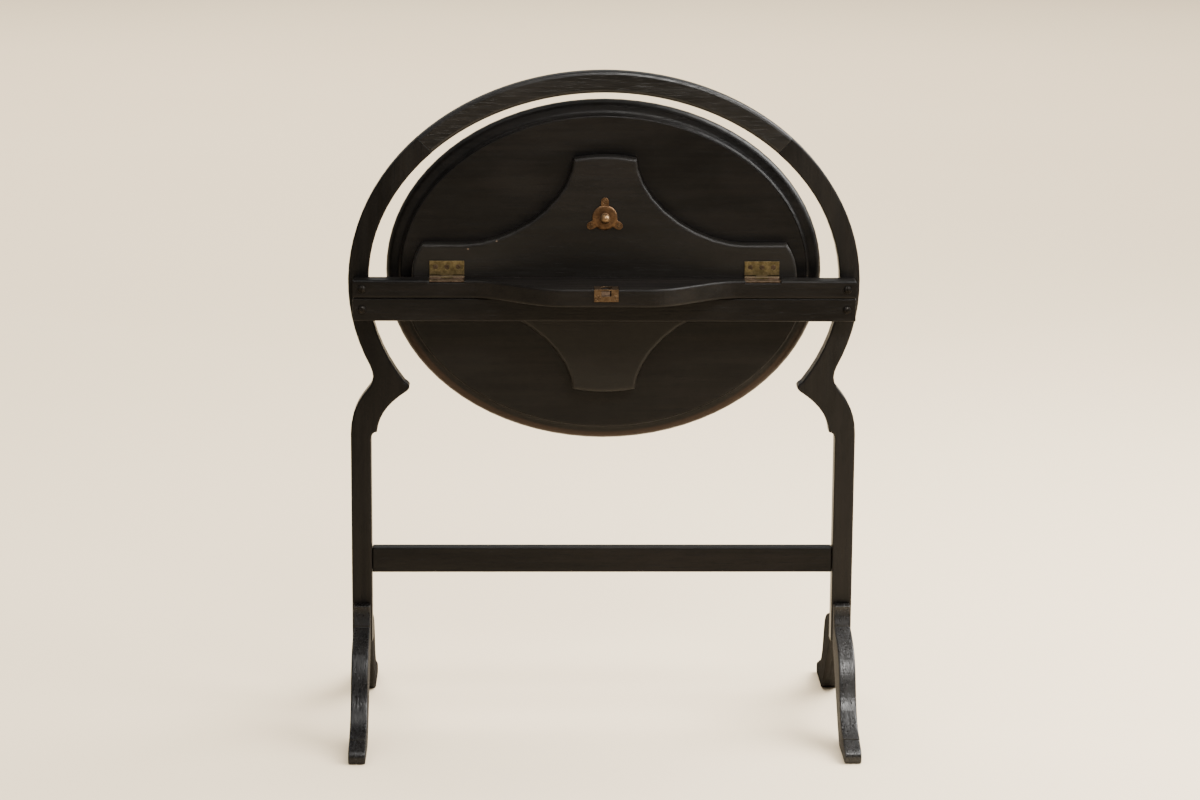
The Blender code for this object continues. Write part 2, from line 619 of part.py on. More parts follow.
def build_crown():
    mesh = rounded_flat("hoop_crown", crown_outline(), FRAME_THICKNESS, CROWN_ROUND)
    dowels = bmesh.new()
    for angle in (JOINT_ANGLE, pi - JOINT_ANGLE):
        point, towards_crown = joint_plane(angle)
        trim(mesh, point + towards_crown * SEAT / 2, -towards_crown)
        crown_dowel_hole(dowels, point, towards_crown)
    return change(add("hoop_crown", mesh, EBONISED, rotation=UPRIGHT_FACE), dowels)


def crown_dowel_hole(bm, point, way):
    reach = way * (CROWN_DOWEL_LENGTH / 2 + SEAT)
    rod_into(bm, point - reach, point + reach, CROWN_DOWEL_RADIUS + SEAT)


def build_crown_dowel(name, angle):
    point, way = joint_plane(angle)
    reach = way * CROWN_DOWEL_LENGTH / 2
    bm = bmesh.new()
    rod_into(bm, point - reach, point + reach, CROWN_DOWEL_RADIUS)
    add(name, to_mesh(bm, name), BARE_WOOD, rotation=UPRIGHT_FACE)


def build_upright(name, side):
    """One upright, side 1 on the right. Its cuts are given in its own frame: X, height, towards the front."""
    outline = upright_outline()
    angle = JOINT_ANGLE
    if side < 0:
        outline = mirrored(outline)
        angle = pi - JOINT_ANGLE
    mesh = rounded_flat(name, outline, FRAME_THICKNESS, FRAME_ROUND)
    point, towards_crown = joint_plane(angle)
    trim(mesh, point - towards_crown * SEAT / 2, towards_crown)
    cuts = bmesh.new()
    crown_dowel_hole(cuts, point, towards_crown)
    tenon = tenon_box(SEAT)
    deep = POST_INNER + TENON_LENGTH + SEAT
    ends = sorted((side * (POST_INNER - CUT_SPARE), side * deep))
    box_into(cuts, (ends[0], tenon[0], -tenon[2]), (ends[1], tenon[1], tenon[2]))
    for height in foot_dowel_heights():
        start = (side * POST_MIDDLE, height, -FRAME_THICKNESS)
        rod_into(cuts, start, (side * POST_MIDDLE, height, FRAME_THICKNESS), FOOT_DOWEL_RADIUS + SEAT)
    x = side * (SHELF_HALF_LENGTH - RAIL_SCREW_INSET)
    for height in rail_screw_heights():
        floor = FRAME_THICKNESS / 2 - RAIL_SCREW_BITE - 2 * SEAT
        rod_into(cuts, (x, height, floor), (x, height, FRAME_THICKNESS), RAIL_SCREW_RADIUS + SEAT)
    change(add(name, mesh, EBONISED, rotation=UPRIGHT_FACE), cuts)


def tenon_box(clearance):
    """Lower height, upper height and half thickness of the stretcher's tenons."""
    low = STRETCHER_TOP - STRETCHER_HEIGHT + TENON_SHOULDER - clearance
    high = STRETCHER_TOP - TENON_SHOULDER + clearance
    return low, high, STRETCHER_THICKNESS / 2 - TENON_SHOULDER + clearance


def build_stretcher():
    half = POST_INNER - SEAT
    low = (-half, -STRETCHER_THICKNESS / 2, STRETCHER_TOP - STRETCHER_HEIGHT)
    high = (half, STRETCHER_THICKNESS / 2, STRETCHER_TOP)
    stretcher = add("stretcher", box_mesh("stretcher", low, high, STRETCHER_ROUND), EBONISED)
    tenons = bmesh.new()
    bottom, top, thick = tenon_box(0)
    reach = POST_INNER + TENON_LENGTH
    box_into(tenons, (-reach, -thick, bottom), (reach, thick, top))
    return change(stretcher, tenons, "UNION")


def foot_dowel_heights():
    middle = (POST_BOTTOM + FOOT_TOP) / 2
    return middle - FOOT_DOWEL_SPACING / 2, middle + FOOT_DOWEL_SPACING / 2


def build_foot(name, side, rotation):
    mesh = rounded_flat(name, foot_outline(), FOOT_WIDTH, FOOT_ROUND)
    holes = bmesh.new()
    for height in foot_dowel_heights():
        end = FRAME_THICKNESS / 2 + FOOT_DOWEL_BITE + SEAT
        rod_into(holes, (0, height, 0), (end, height, 0), FOOT_DOWEL_RADIUS + SEAT)
    change(add(name, mesh, EBONISED, (side * POST_MIDDLE, 0, 0), rotation), holes)


def build_foot_dowels(name, side):
    reach = FRAME_THICKNESS / 2 + FOOT_DOWEL_BITE
    for number, height in enumerate(foot_dowel_heights(), 1):
        bm = bmesh.new()
        rod_into(bm, (0, -reach, 0), (0, reach, 0), FOOT_DOWEL_RADIUS)
        label = f"{name}_{number}"
        add(label, to_mesh(bm, label), BARE_WOOD, (side * POST_MIDDLE, 0, height))


def rail_screw_heights():
    """Middle of the rail, middle of the shelf."""
    return RAIL_TOP - RAIL_HEIGHT / 2, SHELF_TOP - SHELF_THICKNESS / 2


def build_shelf():
    mesh = rounded_flat("shelf", shelf_outline(), SHELF_THICKNESS, SHELF_ROUND)
    middle = SHELF_TOP - SHELF_THICKNESS / 2
    shelf = add("shelf", mesh, EBONISED, (0, 0, middle))
    top = SHELF_THICKNESS / 2
    housing = top - HINGE_LET_IN
    front, back = SHELF_FRONT - CUT_SPARE, SHELF_BACK + CUT_SPARE
    housings = bmesh.new()
    holes = bmesh.new()
    for side in (-1, 1):
        x = side * HINGE_OFFSET
        half = HINGE_LENGTH / 2 + SEAT
        box_into(housings, (x - half, front, housing), (x + half, back, top + CUT_SPARE))
        for offset in leaf_screw_offsets():
            screw_hole(holes, (x + offset, AXIS_Y - LEAF_SCREW_REACH, housing), (0, 0, -1))
        end = side * (SHELF_HALF_LENGTH - RAIL_SCREW_INSET)
        rod_into(holes, (end, front, 0), (end, back, 0), RAIL_SCREW_RADIUS + SEAT)
        strike_screw = (side * STRIKE_SCREW_OFFSET, SHELF_FRONT, strike_screw_height() - middle)
        screw_hole(holes, strike_screw, (0, 1, 0))
    half = STRIKE_WIDTH / 2 + SEAT
    floor = top - STRIKE_THICKNESS - SEAT
    box_into(housings, (-half, front, floor), (half, strike_rear() + SEAT, top + CUT_SPARE))
    change(shelf, housings)
    low, high = strike_pocket()
    box_into(holes, (low[0], low[1], low[2] - middle), (high[0], high[1], high[2] - middle))
    return change(shelf, holes)


def build_rail():
    half = SHELF_HALF_LENGTH
    low = (-half, SHELF_BACK - RAIL_DEPTH, RAIL_TOP - RAIL_HEIGHT)
    rail = add("rail", box_mesh("rail", low, (half, SHELF_BACK, RAIL_TOP), RAIL_ROUND), EBONISED)
    holes = bmesh.new()
    height = rail_screw_heights()[0]
    for x in (RAIL_SCREW_INSET - half, half - RAIL_SCREW_INSET):
        front = SHELF_BACK - RAIL_DEPTH - CUT_SPARE
        rod_into(holes, (x, front, height), (x, 0, height), RAIL_SCREW_RADIUS + SEAT)
    return change(rail, holes)


def build_rail_screws():
    """Round-headed screws through the shelf and the rail into the posts."""
    low, high = rail_screw_heights()
    rows = (("rail", low, RAIL_DEPTH, 1), ("shelf", high, SHELF_END_DEPTH, 2))
    for row, height, depth, order in rows:
        head = RAIL_SCREW_HEAD_HEIGHT
        shank = depth + SEAT + RAIL_SCREW_BITE
        dome = [(RAIL_SCREW_HEAD_RADIUS * sin(a), head * cos(a)) for a in (0, pi / 6, pi / 3, pi / 2)]
        profile = dome + [(RAIL_SCREW_RADIUS, 0), (RAIL_SCREW_RADIUS, SCREW_POINT - shank), (0, -shank)]
        for label, side in (("left", -1), ("right", 1)):
            name = f"{label}_{row}_screw"
            x = side * (SHELF_HALF_LENGTH - RAIL_SCREW_INSET)
            place = (x, SHELF_BACK - depth - SEAT, height)
            screw = turned(name, profile, BLACK_IRON, place, UPRIGHT_FACE)
            cut_slot(
                screw, RAIL_SCREW_HEAD_RADIUS + CUT_SPARE, head, RAIL_SCREW_SLOT_WIDTH, RAIL_SCREW_SLOT_DEPTH,
                side * order * SLOT_TURN,
            )


# Small countersunk screws

def small_screw(name, place, way, finish, order, parent=None):
    """A countersunk screw, its head level with the face that it was driven into."""
    head, length = SMALL_SCREW_HEAD_HEIGHT, SMALL_SCREW_LENGTH
    profile = [
        (0, 0), (SMALL_SCREW_HEAD_RADIUS, 0), (SMALL_SCREW_RADIUS, -head),
        (SMALL_SCREW_RADIUS, SCREW_POINT - length), (0, -length),
    ]
    turn = Vector(way).to_track_quat("-Z", "Y").to_euler()
    screw = turned(name, profile, finish, place, turn, parent, SMALL_SIDES)
    cut_slot(
        screw, SMALL_SCREW_HEAD_RADIUS + CUT_SPARE, 0, SMALL_SCREW_SLOT_WIDTH, SMALL_SCREW_SLOT_DEPTH,
        order * SLOT_TURN,
    )


def screw_hole(bm, place, way):
    """A clearance hole, from just outside the face to the end of the screw."""
    place, way = Vector(place), Vector(way)
    end = place + way * SMALL_SCREW_LENGTH
    rod_into(bm, place - way * CUT_SPARE, end, SMALL_SCREW_RADIUS + SEAT, sides=SMALL_SIDES)


def countersink(bm, place, way):
    """The seat of a screw's head, with the clearance all round it."""
    place, way = Vector(place), Vector(way)
    slope = (SMALL_SCREW_HEAD_RADIUS - SMALL_SCREW_RADIUS) / SMALL_SCREW_HEAD_HEIGHT
    start = place - way * SEAT
    wide = SMALL_SCREW_HEAD_RADIUS + SEAT + SEAT * slope
    end = start + way * (wide - SMALL_SCREW_RADIUS) / slope
    rod_into(bm, start, end, wide, SMALL_SCREW_RADIUS, SMALL_SIDES)


def cut_screw_seats(obj, places, way):
    """Countersunk holes through a metal plate."""
    for tool in (screw_hole, countersink):
        cuts = bmesh.new()
        for place in places:
            tool(cuts, place, way)
        change(obj, cuts)


# Hinges

def leaf_screw_offsets():
    return -LEAF_SCREW_SPACING, 0, LEAF_SCREW_SPACING


def knuckle_spans(owner):
    """X spans of the knuckles: the fixed leaf has the outer two, the moving leaf the middle one."""
    third = HINGE_LENGTH / 3
    if owner == "upper":
        return [(-third / 2, third / 2)]
    inner = third / 2 + KNUCKLE_GAP
    return [(-HINGE_LENGTH / 2, -inner), (inner, HINGE_LENGTH / 2)]


def build_leaf(name, owner, place, rotation, parent=None):
    """A leaf lying in local XY under the pin's axis, reaching along -Y, with its face towards +Z."""
    face = LEAF_THICKNESS - KNUCKLE_RADIUS
    start = -KNUCKLE_RADIUS - KNUCKLE_GAP
    half = HINGE_LENGTH / 2
    plate = bmesh.new()
    box_into(plate, (-half, -LEAF_REACH, -KNUCKLE_RADIUS), (half, start, face))
    leaf = add(name, to_mesh(plate, name), BRASS, place, rotation, parent)
    barrel = bmesh.new()
    webs = bmesh.new()
    for low, high in knuckle_spans(owner):
        rod_into(barrel, (low, 0, 0), (high, 0, 0), KNUCKLE_RADIUS)
        box_into(webs, (low, start - KNUCKLE_GAP, -KNUCKLE_RADIUS), (high, 0, face))
    change(leaf, webs, "UNION")
    change(leaf, barrel, "UNION")
    bore = bmesh.new()
    rod_into(bore, (-half - CUT_SPARE, 0, 0), (half + CUT_SPARE, 0, 0), PIN_RADIUS + SEAT)
    change(leaf, bore)
    cut_screw_seats(leaf, [(x, -LEAF_SCREW_REACH, face) for x in leaf_screw_offsets()], (0, 0, -1))


def build_hinge(label, side):
    middle = side * HINGE_OFFSET
    lower, upper = f"{label}_hinge_lower_leaf", f"{label}_hinge_upper_leaf"
    build_leaf(lower, "lower", (middle, AXIS_Y, AXIS_Z), (0, 0, 0))
    build_leaf(upper, "upper", (middle, 0, 0), (0, 0, pi), TOP_PIVOT)
    pin = bmesh.new()
    rod_into(pin, (-HINGE_LENGTH / 2, 0, 0), (HINGE_LENGTH / 2, 0, 0), PIN_RADIUS)
    name = f"{label}_hinge_pin"
    add(name, to_mesh(pin, name), BRASS, (middle, AXIS_Y, AXIS_Z))
    face = LEAF_THICKNESS - KNUCKLE_RADIUS
    for number, offset in enumerate(leaf_screw_offsets(), 1):
        x = middle + offset
        fixed = (x, AXIS_Y - LEAF_SCREW_REACH, AXIS_Z + face)
        small_screw(f"{lower}_screw_{number}", fixed, (0, 0, -1), BRASS, side * number)
        moving = (x, LEAF_SCREW_REACH, face)
        small_screw(f"{upper}_screw_{number}", moving, (0, 0, -1), BRASS, -2 * side * number, TOP_PIVOT)


# Top. Its pieces lie in the pivot's frame: X, up the folded top, and towards the front.

def oval(half_length, half_width):
    turns = [2 * pi * i / TOP_STEPS for i in range(TOP_STEPS)]
    return [(half_length * cos(a), half_width * sin(a)) for a in turns]


def thumb_and_hollow(share, fillet, count):
    """Profile from the lip inwards: a convex thumb, a hollow, and a small step up to the flat."""
    turns = [pi / 2 * i / count for i in range(count + 1)]
    thumb = [(share * (1 - cos(a)), 1 - share * sin(a)) for a in turns]
    rise = 1 - share - fillet
    hollow = [(share + (1 - share) * sin(a), 1 - share - rise * (1 - cos(a))) for a in turns]
    return thumb + hollow[1:] + [(1, 0)]


def build_table_top():
    underside = -LEAF_STANDOFF - BATTEN_THICKNESS - SEAT
    outline = oval(TOP_HALF_LENGTH, TOP_HALF_WIDTH)
    mesh = rounded_flat("table_top", outline, TOP_THICKNESS, TOP_EASING, sides=(-1,))
    top = add("table_top", mesh, EBONISED, (0, TOP_RISE, underside - TOP_THICKNESS / 2), parent=TOP_PIVOT)
    moulded(top, 1, TOP_THICKNESS - TOP_LIP, thumb_and_hollow(TOP_THUMB, TOP_FILLET, 4))


def build_batten():
    mesh = flat_mesh("batten", batten_outline(), BATTEN_THICKNESS)
    face = BATTEN_THICKNESS / 2
    batten = add("batten", mesh, EBONISED, (0, TOP_RISE, -LEAF_STANDOFF - face), parent=TOP_PIVOT)
    turns = [pi / 8 * i for i in range(5)]
    moulded(batten, 1, BATTEN_ROUND, [(1 - cos(a), 1 - sin(a)) for a in turns])
    holes = bmesh.new()
    for side in (-1, 1):
        for offset in leaf_screw_offsets():
            screw_hole(holes, (side * HINGE_OFFSET + offset, LEAF_SCREW_REACH - TOP_RISE, face), (0, 0, -1))
    for x, y in catch_screw_places():
        screw_hole(holes, (x, y - TOP_RISE, face), (0, 0, -1))
    depth = STUD_SHANK_LENGTH + SEAT
    middle = CATCH_REACH - TOP_RISE
    rod_into(holes, (0, middle, face - depth), (0, middle, face + depth), STUD_SHANK_RADIUS + SEAT)
    return change(batten, holes)


# Catch

def lug_turns():
    return [pi / 2 + 2 * pi / 3 * i for i in range(3)]


def catch_screw_places():
    return [(CATCH_LUG_REACH * cos(a), CATCH_REACH + CATCH_LUG_REACH * sin(a)) for a in lug_turns()]


def lug_outline():
    """Three round-ended tabs about the plate's middle, one for each screw."""
    notch = CATCH_LUG_RADIUS / sin(pi / 3)
    outline = []
    for turn in lug_turns():
        x, y = CATCH_LUG_REACH * cos(turn), CATCH_LUG_REACH * sin(turn)
        round_end = [turn + pi * (i / 8 - 0.5) for i in range(9)]
        outline += [(x + CATCH_LUG_RADIUS * cos(a), y + CATCH_LUG_RADIUS * sin(a)) for a in round_end]
        outline.append((notch * cos(turn + pi / 3), notch * sin(turn + pi / 3)))
    return outline


def build_catch_plate():
    """A round plate with three screw lugs, lying on the batten's face, and a boss for the stud."""
    back = SEAT - LEAF_STANDOFF
    flat = CATCH_PLATE_RADIUS - CATCH_PLATE_ROUND
    turns = [radians(80) * i / 5 for i in range(6)]
    rim = [(flat + CATCH_PLATE_ROUND * sin(a), CATCH_PLATE_THICKNESS * cos(a)) for a in turns]
    profile = [
        (0, CATCH_BOSS_HEIGHT), (CATCH_BOSS_RADIUS, CATCH_BOSS_HEIGHT),
        (CATCH_BOSS_RADIUS + CATCH_BOSS_RISE, CATCH_PLATE_THICKNESS),
    ] + rim + [(rim[-1][0], 0), (0, 0)]
    plate = turned("catch_plate", profile, BRONZE, (0, CATCH_REACH, back), parent=TOP_PIVOT, sides=32)
    lugs = bmesh.new()
    lugs.from_mesh(flat_mesh("catch_lugs", lug_outline(), CATCH_LUG_THICKNESS))
    bmesh.ops.translate(lugs, verts=lugs.verts[:], vec=(0, 0, CATCH_LUG_THICKNESS / 2))
    change(plate, lugs, "UNION")
    bore = bmesh.new()
    top = CATCH_BOSS_HEIGHT + CUT_SPARE
    rod_into(bore, (0, 0, -CUT_SPARE), (0, 0, top), STUD_SHANK_RADIUS + SEAT)
    change(plate, bore)
    seats = [(x, y - CATCH_REACH, CATCH_LUG_THICKNESS) for x, y in catch_screw_places()]
    cut_screw_seats(plate, seats, (0, 0, -1))
    for number, (x, y) in enumerate(catch_screw_places(), 1):
        place = (x, y, back + CATCH_LUG_THICKNESS)
        small_screw(f"catch_screw_{number}", place, (0, 0, -1), BRONZE, number, TOP_PIVOT)


def build_catch_stud():
    """A ball on a neck. Its shank goes through the plate into the batten."""
    face = -LEAF_STANDOFF
    lowest = acos(STUD_NECK_RADIUS / STUD_BALL_RADIUS)
    count = 12
    angles = [pi / 2 - (pi / 2 + lowest) * i / count for i in range(count + 1)]
    ball = [(STUD_BALL_RADIUS * cos(a), STUD_BALL_HEIGHT + STUD_BALL_RADIUS * sin(a)) for a in angles]
    ball[0] = (0, ball[0][1])
    foot = [
        (STUD_NECK_RADIUS, STUD_SEAT + STUD_COLLAR / 2), (STUD_NECK_RADIUS + STUD_COLLAR, STUD_SEAT),
        (STUD_SHANK_RADIUS, STUD_SEAT), (STUD_SHANK_RADIUS, -STUD_SHANK_LENGTH), (0, -STUD_SHANK_LENGTH),
    ]
    turned("catch_stud", ball + foot, BRONZE, (0, CATCH_REACH, face), parent=TOP_PIVOT, sides=28)


# Strike

def strike_pocket():
    """Low and high corners of the pocket in the shelf's front edge that takes the ball."""
    floor = BALL_OPEN_Z - STUD_BALL_RADIUS - STRIKE_POCKET_FLOOR
    front = SHELF_FRONT - POCKET_HALF
    return (-POCKET_HALF, front, floor), (POCKET_HALF, BALL_OPEN_Y + POCKET_HALF, SHELF_TOP + POCKET_HALF)


def strike_low():
    return strike_pocket()[0][2] - STRIKE_SKIRT


def strike_rear():
    return BALL_OPEN_Y + POCKET_HALF + STRIKE_REAR_RIM


def strike_screw_height():
    return strike_low() + STRIKE_SCREW_RISE


def build_strike_plate():
    """A folded plate over the pocket: a window in its front, a hole for the ball in its top."""
    half = STRIKE_WIDTH / 2
    front_back = SHELF_FRONT - SEAT
    front = front_back - STRIKE_THICKNESS
    under = SHELF_TOP - STRIKE_THICKNESS
    face = bmesh.new()
    box_into(face, (-half, front, strike_low()), (half, front_back, SHELF_TOP))
    plate = add("strike_plate", to_mesh(face, "strike_plate"), BRASS)
    rim = bmesh.new()
    box_into(rim, (-half, front, under), (half, strike_rear(), SHELF_TOP))
    change(plate, rim, "UNION")
    window = bmesh.new()
    side, head = STRIKE_WINDOW_WIDTH / 2, strike_window_top()
    box_into(window, (-side, front - CUT_SPARE, head - STRIKE_WINDOW_HEIGHT), (side, SHELF_FRONT, head))
    change(plate, window)
    hole = bmesh.new()
    middle = (0, BALL_OPEN_Y, under - CUT_SPARE), (0, BALL_OPEN_Y, SHELF_TOP + CUT_SPARE)
    rod_into(hole, *middle, POCKET_HALF, sides=24)
    change(plate, hole)
    seats = [(x, front, strike_screw_height()) for x in (-STRIKE_SCREW_OFFSET, STRIKE_SCREW_OFFSET)]
    cut_screw_seats(plate, seats, (0, 1, 0))
    for order, (label, place) in enumerate(zip(("left", "right"), seats), 1):
        small_screw(f"{label}_strike_screw", place, (0, 1, 0), BRASS, order)


def strike_window_top():
    return SHELF_TOP - STRIKE_THICKNESS - STRIKE_WINDOW_DROP


def build_strike_spring():
    """A bent leaf in the pocket: its blade stands behind the window, its foot lies under the ball."""
    floor = strike_pocket()[0][2] + SEAT
    top = strike_window_top() - SPRING_DROP
    blade_back = SHELF_FRONT + SPRING_THICKNESS
    foot_back = blade_back + SPRING_FOOT
    outline = [
        (SHELF_FRONT, floor), (foot_back, floor), (foot_back, floor + SPRING_THICKNESS),
        (blade_back, floor + SPRING_THICKNESS), (blade_back, top), (SHELF_FRONT, top),
    ]
    mesh = flat_mesh("strike_spring", outline, SPRING_WIDTH)
    add("strike_spring", mesh, STEEL, (-SPRING_OFFSET, 0, 0), (pi / 2, 0, pi / 2))


clear_scene()
PARTS = collection("pastry_table")
CUTTERS = collection("cutters", hidden=True)
EBONISED = material("ebonised_wood", (0.018, 0.016, 0.015), 0.42)
BARE_WOOD = material("dowel_wood", (0.42, 0.27, 0.14), 0.6)
BRASS = material("aged_brass", (0.50, 0.36, 0.13), 0.38, 1.0)
BRONZE = material("brown_bronze", (0.22, 0.15, 0.08), 0.4, 1.0)
BLACK_IRON = material("black_iron", (0.02, 0.02, 0.02), 0.5, 0.8)
STEEL = material("spring_steel", (0.45, 0.43, 0.41), 0.35, 1.0)
TOP_PIVOT = pivot("top_pivot", (0, AXIS_Y, AXIS_Z), UPRIGHT_FACE)

build_crown()
build_crown_dowel("right_crown_dowel", JOINT_ANGLE)
build_crown_dowel("left_crown_dowel", pi - JOINT_ANGLE)
for label, side in (("left", -1), ("right", 1)):
    build_upright(f"{label}_upright", side)
    build_foot(f"{label}_front_foot", side, FRONT_FOOT)
    build_foot(f"{label}_back_foot", side, BACK_FOOT)
    build_foot_dowels(f"{label}_foot_dowel", side)
    build_hinge(label, side)
build_stretcher()
build_shelf()
build_rail()
build_rail_screws()
build_table_top()
build_batten()
build_catch_plate()
build_catch_stud()
build_strike_plate()
build_strike_spring()
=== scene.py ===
from math import cos, radians, sin

import bpy
from mathutils import Matrix, Vector

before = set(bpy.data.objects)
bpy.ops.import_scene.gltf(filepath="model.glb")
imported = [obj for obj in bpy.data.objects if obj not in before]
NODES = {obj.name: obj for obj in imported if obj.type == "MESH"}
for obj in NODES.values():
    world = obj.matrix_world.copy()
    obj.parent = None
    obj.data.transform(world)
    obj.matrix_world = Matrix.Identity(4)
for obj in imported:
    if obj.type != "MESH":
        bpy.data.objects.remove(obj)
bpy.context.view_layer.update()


# Values: lengths in metres, colours linear

# Turns that lay the grain of a board along X
ALONG_X = (0, 0, 0)
ALONG_Z = (0, radians(90), 0)
FRONT_FOOT_GRAIN = (radians(-48), 0, radians(90))
BACK_FOOT_GRAIN = (radians(48), 0, radians(90))

# Noise cells per metre, along the grain and across it
CLOUD_CELLS = (5, 9, 9)
STREAK_CELLS = (3.5, 70, 70)
FIBRE_CELLS = (14, 380, 380)
PORE_CELLS = (40, 1100, 1100)
RAGGED_CELLS = (700, 700, 700)
DOWEL_CELLS = (18, 260, 260)
PATCH_CELLS = (180.0, 180.0, 180.0)
SPECK_CELLS = (1080.0, 1080.0, 1080.0)
FLOOR_CELLS = (0.8, 0.8, 0.8)

# Step from one seed to the next through the noise
WOOD_STEP = (0.37, 0.21, 0.53)
METAL_STEP = (0.31, 0.17, 0.43)

# Noise values between which a feature begins and is full
TONE_SPAN = (0.38, 0.64)
PORE_SPAN = (0.56, 0.70)
PATCH_SPAN = (0.32, 0.68)
GRIME_SPAN = (0.52, 0.72)
RING_SPAN = (0.3, 0.7)

WOOD_DARK = (0.0012, 0.0010, 0.0009)
WOOD_LIGHT = (0.0050, 0.0040, 0.0032)
WOOD_PORE = (0.0008, 0.0007, 0.0006)
WOOD_CHIP = (0.085, 0.058, 0.042)
DOWEL_DARK = (0.30, 0.17, 0.08)
DOWEL_LIGHT = (0.46, 0.30, 0.16)
# Painted highlight: the colour painted along the tops of the hinge barrels in place of their highlight
BARREL_HIGHLIGHT_COLOUR = (0.044, 0.032, 0.019)
GRIME_SHADE = 0.35    # share of the dark tone that is left under grime
FLOOR_DARK = (0.63, 0.515, 0.36)
FLOOR_LIGHT = (0.66, 0.545, 0.385)

HINGE_AXIS = (-0.0136, 0.5038)    # Y and Z of the barrels
BARREL_REACH = (0.0024, 0.0027)    # from the axis: painted highlight still on, no longer on
BARREL_RISE = (0.0001, 0.0007)    # above the axis: painted highlight not yet on, fully on
# strongest share of the painted highlight colour on a barrel's top
BARREL_HIGHLIGHT_SHARE = 0.9

TOP_OVAL = (0.5061, 0.2395, 0.1890)    # height of the folded top's middle, and its half sizes
RIM_SPAN = (0.948, 0.966)    # where the rim begins and is full, as shares of the oval
# Painted reflection: a warm brown painted on the lower rim of the folded top's underside, standing in for
# the floor's reflection
TOP_PAINTED_REFLECTION = (0.47, 0.41, (0.019, 0.010, 0.0055))    # height where it begins, where it is full, colour
# Painted light: a lighter colour painted over the batten's lower part, brightening it where it lies in shade
# above the shelf
BATTEN_PAINTED_LIGHT = (0.60, 0.52, (0.0062, 0.0053, 0.0043))
TOP_CHIPS = (((-0.0643, 0.0105, 0.6776), 0.0012),)    # place and radius of each
BATTEN_CHIPS = (((-0.1176, -0.0105, 0.5433), 0.0011), ((-0.1489, -0.011, 0.5346), 0.0011))

FLOOR_SIZE = 60
SENSOR_MM = 36
PHOTO_WIDTH_PX = 1200
FOCAL_PX = 3350
CAMERA_PLACE = (-0.09846, -3.61768, 1.13091)
CAMERA_YAW, CAMERA_PITCH, CAMERA_ROLL = radians(-1.5), radians(11.96), radians(0.37)


# Node helpers

# A Mix node has sockets for every kind of data: these are the ones for colours
MIX_FIRST, MIX_SECOND, MIX_RESULT = 6, 7, 2


